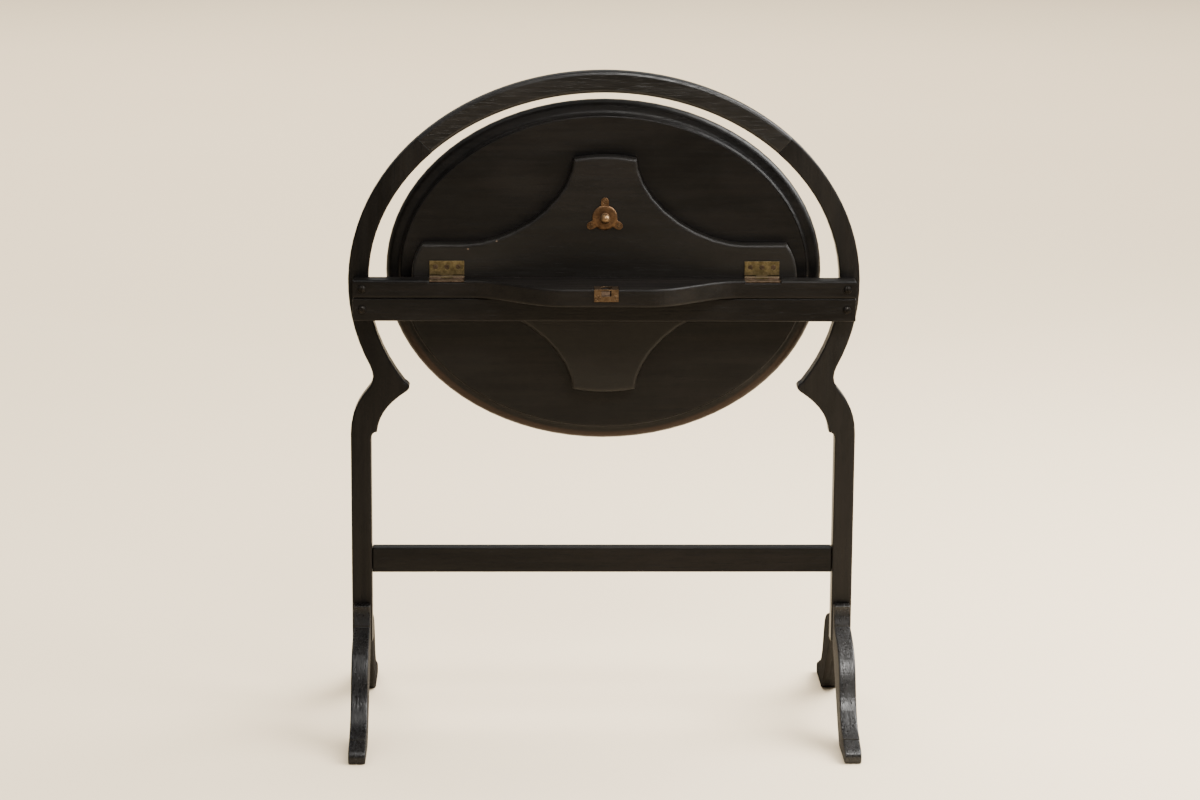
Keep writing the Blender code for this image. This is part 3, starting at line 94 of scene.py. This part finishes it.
class Graph:
    """A material's node tree, with a Principled shader to feed."""

    def __init__(self, name):
        self.material = bpy.data.materials.new(name)
        self.material.use_nodes = True
        self.tree = self.material.node_tree
        self.shader = self.tree.nodes["Principled BSDF"]
        self.coordinates = self.add("ShaderNodeTexCoord")

    def add(self, kind, **settings):
        node = self.tree.nodes.new(kind)
        for key, value in settings.items():
            setattr(node, key, value)
        return node

    def link(self, source, target):
        self.tree.links.new(source, target)

    def put(self, socket, value):
        """Links an output to a socket, or sets the socket's own value."""
        if isinstance(value, bpy.types.NodeSocket):
            self.link(value, socket)
        else:
            socket.default_value = value

    def place(self, scale, rotation=(0, 0, 0), offset=(0, 0, 0)):
        """Object coordinates, turned, moved and then stretched."""
        turned = self.add("ShaderNodeMapping", vector_type="POINT")
        self.link(self.coordinates.outputs["Object"], turned.inputs["Vector"])
        turned.inputs["Rotation"].default_value = rotation
        turned.inputs["Location"].default_value = offset
        stretched = self.add("ShaderNodeMapping", vector_type="POINT")
        self.link(turned.outputs["Vector"], stretched.inputs["Vector"])
        stretched.inputs["Scale"].default_value = scale
        return stretched.outputs["Vector"]

    def parts(self, kind):
        """The X, Y and Z outputs of the Object coordinates or of the Normal, in the object's own frame."""
        split = self.add("ShaderNodeSeparateXYZ")
        self.link(self.coordinates.outputs[kind], split.inputs["Vector"])
        return split.outputs

    def noise(self, vector, detail, roughness=0.5, distortion=0.0):
        node = self.add("ShaderNodeTexNoise")
        self.link(vector, node.inputs["Vector"])
        node.inputs["Scale"].default_value = 1.0
        node.inputs["Detail"].default_value = detail
        node.inputs["Roughness"].default_value = roughness
        node.inputs["Distortion"].default_value = distortion
        return node.outputs["Fac"]

    def ramp(self, value, low, high, start=0.0, end=1.0, smooth=True):
        """Maps a value from low..high onto start..end, clamped."""
        node = self.add("ShaderNodeMapRange", interpolation_type="SMOOTHSTEP" if smooth else "LINEAR")
        self.put(node.inputs["Value"], value)
        node.inputs["From Min"].default_value = low
        node.inputs["From Max"].default_value = high
        node.inputs["To Min"].default_value = start
        node.inputs["To Max"].default_value = end
        return node.outputs["Result"]

    def math(self, operation, a, b=0.0):
        node = self.add("ShaderNodeMath", operation=operation)
        self.put(node.inputs[0], a)
        self.put(node.inputs[1], b)
        return node.outputs["Value"]

    def reach(self, a, b):
        """Length of a step by a one way and by b the other."""
        squares = self.math("ADD", self.math("MULTIPLY", a, a), self.math("MULTIPLY", b, b))
        return self.math("SQRT", squares)

    def mix(self, share, a, b):
        """Blends two colours."""
        node = self.add("ShaderNodeMix", data_type="RGBA")
        self.put(node.inputs["Factor"], share)
        for index, value in ((MIX_FIRST, a), (MIX_SECOND, b)):
            self.put(node.inputs[index], value if isinstance(value, bpy.types.NodeSocket) else (*value, 1))
        return node.outputs[MIX_RESULT]

    def bump(self, height, distance, strength=1.0, under=None):
        """The surface normal, tilted by a height. It can lie over another normal."""
        node = self.add("ShaderNodeBump")
        node.inputs["Strength"].default_value = strength
        node.inputs["Distance"].default_value = distance
        self.link(height, node.inputs["Height"])
        if under is not None:
            self.link(under, node.inputs["Normal"])
        return node.outputs["Normal"]

    def eased(self, radius):
        """The surface normal, blended across edges and facets within this radius."""
        node = self.add("ShaderNodeBevel", samples=8)
        node.inputs["Radius"].default_value = radius
        return node.outputs["Normal"]

    def finish(self, colour, roughness, normal, **fixed):
        """Feeds the shader. An underscore in a fixed input's name stands for a space."""
        self.put(self.shader.inputs["Base Color"], colour)
        self.put(self.shader.inputs["Roughness"], roughness)
        self.link(normal, self.shader.inputs["Normal"])
        for name, value in fixed.items():
            self.shader.inputs[name.replace("_", " ")].default_value = value
        return self.material


def seed_offset(seed, step):
    return tuple(seed * part for part in step)


# Materials

def ebonised(name, grain, seed, relief=0.00012, sheen=0.38, chips=(), gloss=0.145, dull=None, painted_light=None,
             oval=None, ease=0.002):
    """Black-stained, polished, open-grained wood. The grain is given as the turn that lays it along X.

    Faces square to the dull axis are rougher. Painted light is a colour painted over the lower part in place
    of light, as a painted reflection or a painted brightening, and an oval keeps it to a band along that
    oval's edge. A chip shows the brown wood under the stain.
    """
    g = Graph(name)
    offset = seed_offset(seed, WOOD_STEP)
    clouds = g.noise(g.place(CLOUD_CELLS, grain, offset), detail=4, roughness=0.6, distortion=0.3)
    streaks = g.noise(g.place(STREAK_CELLS, grain, offset), detail=5, roughness=0.65, distortion=0.2)
    fibres = g.noise(g.place(FIBRE_CELLS, grain, offset), detail=3, roughness=0.6)
    pores = g.noise(g.place(PORE_CELLS, grain, offset), detail=2)
    tone = g.math("ADD", g.math("MULTIPLY", clouds, 0.5), g.math("MULTIPLY", streaks, 0.5))
    colour = g.mix(g.ramp(tone, *TONE_SPAN), WOOD_DARK, WOOD_LIGHT)
    colour = g.mix(g.ramp(pores, *PORE_SPAN, start=0, end=0.8), colour, WOOD_PORE)
    # Painted light: a colour painted over the lower part, a painted reflection on the top's rim or a painted
    # brightening on the batten
    if painted_light is not None:
        begin, full, shade = painted_light
        at = g.parts("Object")
        share = g.math("MULTIPLY", g.ramp(at["Z"], begin, full), g.ramp(clouds, 0.2, 0.6, start=0.5, end=1))
        if oval is not None:
            middle, half_length, half_width = oval
            across = g.math("DIVIDE", at["X"], half_length)
            up = g.math("DIVIDE", g.math("SUBTRACT", at["Z"], middle), half_width)
            share = g.math("MULTIPLY", share, g.ramp(g.reach(across, up), *RIM_SPAN))
        colour = g.mix(share, colour, shade)
    if chips:
        ragged = g.noise(g.place(RAGGED_CELLS), detail=2)
        stretch = g.ramp(ragged, 0.2, 0.8, start=0.6, end=1.5, smooth=False)
        for place, radius in chips:
            away = g.add("ShaderNodeVectorMath", operation="DISTANCE")
            g.link(g.coordinates.outputs["Object"], away.inputs[0])
            away.inputs[1].default_value = place
            uneven = g.math("MULTIPLY", away.outputs["Value"], stretch)
            colour = g.mix(g.ramp(uneven, radius * 0.6, radius * 1.2, start=1, end=0), colour, WOOD_CHIP)
    rough = g.math("ADD", g.ramp(clouds, 0.3, 0.7, start=sheen - 0.05, end=sheen + 0.07),
                   g.ramp(fibres, 0.35, 0.7, start=-0.05, end=0.08))
    if dull is not None:
        square = g.math("ABSOLUTE", g.parts("Normal")[dull])
        rough = g.math("ADD", rough, g.ramp(square, 0.7, 0.98, start=0, end=0.5))
    normal = g.bump(streaks, relief * 2, 0.4, under=g.eased(ease))
    normal = g.bump(fibres, relief, 0.8, under=normal)
    normal = g.bump(g.ramp(pores, *PORE_SPAN, start=1, end=0), relief, 0.8, under=normal)
    return g.finish(colour, rough, normal, Specular_IOR_Level=gloss)


def metal(name, dark, light, rough, seed, grime=0.5, barrel=None, ease=0.0005):
    """Aged metal: two tones in patches, with darker, duller grime over them.

    A barrel is a colour painted along the top of a hinge's barrel, a painted highlight.
    """
    g = Graph(name)
    offset = seed_offset(seed, METAL_STEP)
    patches = g.noise(g.place(PATCH_CELLS, offset=offset), detail=4, roughness=0.6, distortion=0.3)
    specks = g.noise(g.place(SPECK_CELLS, offset=offset), detail=3, roughness=0.7)
    colour = g.mix(g.ramp(patches, *PATCH_SPAN), dark, light)
    shade = tuple(part * GRIME_SHADE for part in dark)
    colour = g.mix(g.ramp(specks, *GRIME_SPAN, start=0, end=grime), colour, shade)
    # Painted highlight along the top of the hinge barrel
    if barrel is not None:
        at = g.parts("Object")
        off_y = g.math("SUBTRACT", at["Y"], HINGE_AXIS[0])
        off_z = g.math("SUBTRACT", at["Z"], HINGE_AXIS[1])
        near = g.ramp(g.reach(off_y, off_z), *BARREL_REACH, start=BARREL_HIGHLIGHT_SHARE, end=0)
        colour = g.mix(g.math("MULTIPLY", near, g.ramp(off_z, *BARREL_RISE)), colour, barrel)
    roughness = g.math("ADD", g.ramp(patches, 0.3, 0.7, start=rough + 0.08, end=rough - 0.06),
                       g.ramp(specks, 0.4, 0.75, start=0, end=0.14))
    normal = g.bump(specks, 0.00004, 0.6, under=g.eased(ease))
    return g.finish(colour, roughness, normal, Metallic=1.0)


def bare_wood(name):
    """Unfinished hardwood with a fine grain along X."""
    g = Graph(name)
    rings = g.noise(g.place(DOWEL_CELLS), detail=4, roughness=0.6)
    colour = g.mix(g.ramp(rings, *RING_SPAN), DOWEL_DARK, DOWEL_LIGHT)
    return g.finish(colour, g.ramp(rings, *RING_SPAN, start=0.55, end=0.7), g.bump(rings, 0.0001))


def dress(material, *names):
    for name in names:
        data = NODES[name].data
        data.materials.clear()
        data.materials.append(material)


# Wooden pieces

dress(ebonised("wood_crown", ALONG_X, seed=1, gloss=0.24, ease=0.001), "hoop_crown")
dress(ebonised("wood_left_upright", ALONG_Z, seed=2, gloss=0.11, ease=0.001), "left_upright")
dress(ebonised("wood_right_upright", ALONG_Z, seed=3, gloss=0.16, ease=0.001), "right_upright")
dress(ebonised("wood_stretcher", ALONG_X, seed=4, gloss=0.11), "stretcher")
dress(ebonised("wood_left_front_foot", FRONT_FOOT_GRAIN, seed=5, relief=0.0004, sheen=0.31, gloss=0.23,
               dull="X"), "left_front_foot")
dress(ebonised("wood_right_front_foot", FRONT_FOOT_GRAIN, seed=11, relief=0.0004, sheen=0.26, gloss=0.36,
               dull="X"), "right_front_foot")
dress(ebonised("wood_back_feet", BACK_FOOT_GRAIN, seed=6, relief=0.0003, sheen=0.56, gloss=0.07,
               dull="X"), "left_back_foot", "right_back_foot")
dress(ebonised("wood_rail", ALONG_X, seed=7, relief=0.0001, gloss=0.12), "rail")
dress(ebonised("wood_shelf", ALONG_X, seed=8, relief=0.0001, gloss=0.105), "shelf")
# The top's underside carries a painted reflection of the floor along its lower rim
dress(ebonised("wood_top", ALONG_X, seed=9, relief=0.00006, gloss=0.13, chips=TOP_CHIPS, painted_light=TOP_PAINTED_REFLECTION,
               oval=TOP_OVAL, ease=0.003), "table_top")
# The batten carries painted light, brightening its shaded lower part
dress(ebonised("wood_batten", ALONG_X, seed=10, relief=0.00008, chips=BATTEN_CHIPS, painted_light=BATTEN_PAINTED_LIGHT,
               ease=0.003), "batten")
dress(bare_wood("wood_dowels"), *[n for n in NODES if "dowel" in n])

# Metal pieces: dark tone, light tone

dress(metal("brass_olive", (0.060, 0.046, 0.021), (0.120, 0.092, 0.045), rough=0.48, seed=1,
            barrel=BARREL_HIGHLIGHT_COLOUR), "left_hinge_upper_leaf", "right_hinge_upper_leaf")
dress(metal("brass_screws", (0.042, 0.030, 0.018), (0.080, 0.056, 0.036), rough=0.46, seed=9),
      *[n for n in NODES if "leaf_screw" in n])
dress(metal("brass_copper", (0.063, 0.043, 0.029), (0.130, 0.091, 0.062), rough=0.44, seed=2,
            barrel=BARREL_HIGHLIGHT_COLOUR), *[n for n in NODES if n.endswith(("lower_leaf", "hinge_pin"))])
dress(metal("bronze_plate", (0.049, 0.027, 0.014), (0.102, 0.059, 0.031), rough=0.40, seed=3), "catch_plate")
dress(metal("bronze_screws", (0.05, 0.03, 0.016), (0.11, 0.066, 0.036), rough=0.42, seed=4),
      *[n for n in NODES if "catch_screw" in n])
dress(metal("bronze_ball", (0.100, 0.060, 0.030), (0.190, 0.122, 0.066), rough=0.43, seed=5, grime=0.3,
            ease=0.002), "catch_stud")
dress(metal("strike_brass", (0.052, 0.032, 0.018), (0.108, 0.072, 0.043), rough=0.38, seed=6),
      "strike_plate", "left_strike_screw", "right_strike_screw")
dress(metal("spring_steel", (0.072, 0.054, 0.045), (0.130, 0.099, 0.082), rough=0.42, seed=7),
      "strike_spring")
dress(metal("black_iron", (0.006, 0.0055, 0.005), (0.016, 0.0145, 0.013), rough=0.42, seed=8, grime=0.3),
      "left_rail_screw", "right_rail_screw", "left_shelf_screw", "right_shelf_screw")


# Stage

def stage_floor():
    """A plain pale floor that runs far beyond the picture."""
    bpy.ops.mesh.primitive_plane_add(size=FLOOR_SIZE, location=(0, 0, 0))
    floor = bpy.context.object
    floor.name = "stage_floor"
    g = Graph("stage_floor")
    tone = g.noise(g.place(FLOOR_CELLS), detail=2)
    colour = g.mix(tone, FLOOR_DARK, FLOOR_LIGHT)
    floor.data.materials.append(g.finish(colour, 0.55, g.bump(tone, 0.0002, 0.1)))


def area_light(name, place, aim, size, power, colour, mirrored=True):
    """A soft panel, wide by high. The camera never sees it, and reflections show it only if mirrored."""
    lamp = bpy.data.lights.new(name, "AREA")
    lamp.shape = "RECTANGLE"
    lamp.size, lamp.size_y = size
    lamp.energy = power
    lamp.color = colour
    obj = bpy.data.objects.new(name, lamp)
    obj.location = place
    obj.rotation_euler = (Vector(aim) - Vector(place)).to_track_quat("-Z", "Y").to_euler()
    obj.visible_camera = False
    obj.visible_glossy = mirrored
    bpy.context.scene.collection.objects.link(obj)


def world_light(colour, strength):
    world = bpy.data.worlds.new("studio")
    world.use_nodes = True
    back = world.node_tree.nodes["Background"]
    back.inputs["Color"].default_value = (*colour, 1)
    back.inputs["Strength"].default_value = strength
    bpy.context.scene.world = world


def photo_camera():
    """The photograph's own viewpoint: where it stood, which way it looked and how long its lens was."""
    yaw, pitch, roll = CAMERA_YAW, CAMERA_PITCH, CAMERA_ROLL
    ahead = Vector((-sin(yaw) * cos(pitch), cos(yaw) * cos(pitch), -sin(pitch)))
    level = Vector((cos(yaw), sin(yaw), 0))
    up = level.cross(ahead)
    right = cos(roll) * level + sin(roll) * up
    top = cos(roll) * up - sin(roll) * level
    data = bpy.data.cameras.new("photo_camera")
    data.sensor_fit = "HORIZONTAL"
    data.sensor_width = SENSOR_MM
    data.lens = SENSOR_MM * FOCAL_PX / PHOTO_WIDTH_PX
    camera = bpy.data.objects.new("photo_camera", data)
    turn = Matrix((right, top, -ahead)).transposed().to_4x4()
    camera.matrix_world = Matrix.Translation(CAMERA_PLACE) @ turn
    bpy.context.scene.collection.objects.link(camera)
    bpy.context.scene.camera = camera


stage_floor()
world_light(colour=(0.92, 0.90, 0.86), strength=0.49)
area_light("key", place=(0.45, -1.5, 1.9), aim=(0.25, 0, 0.1), size=(0.8, 0.5), power=50,
           colour=(1.0, 0.98, 0.95))
area_light("window", place=(1.7, 0.1, 1.9), aim=(0.1, 0, 0.5), size=(2.6, 1.8), power=280,
           colour=(1.0, 0.99, 0.97))
area_light("fill", place=(-2.4, -2.2, 1.7), aim=(0, 0, 0.4), size=(2.0, 1.6), power=14,
           colour=(1.0, 0.97, 0.93))
area_light("ceiling", place=(-0.7, -0.4, 2.4), aim=(-0.1, 0, 0.5), size=(1.4, 1.0), power=22,
           colour=(1.0, 0.98, 0.95))
area_light("back", place=(0, 5.5, 5.0), aim=(0, 5.0, 0), size=(9.0, 8.0), power=1650,
           colour=(1.0, 0.955, 0.86), mirrored=False)
photo_camera()
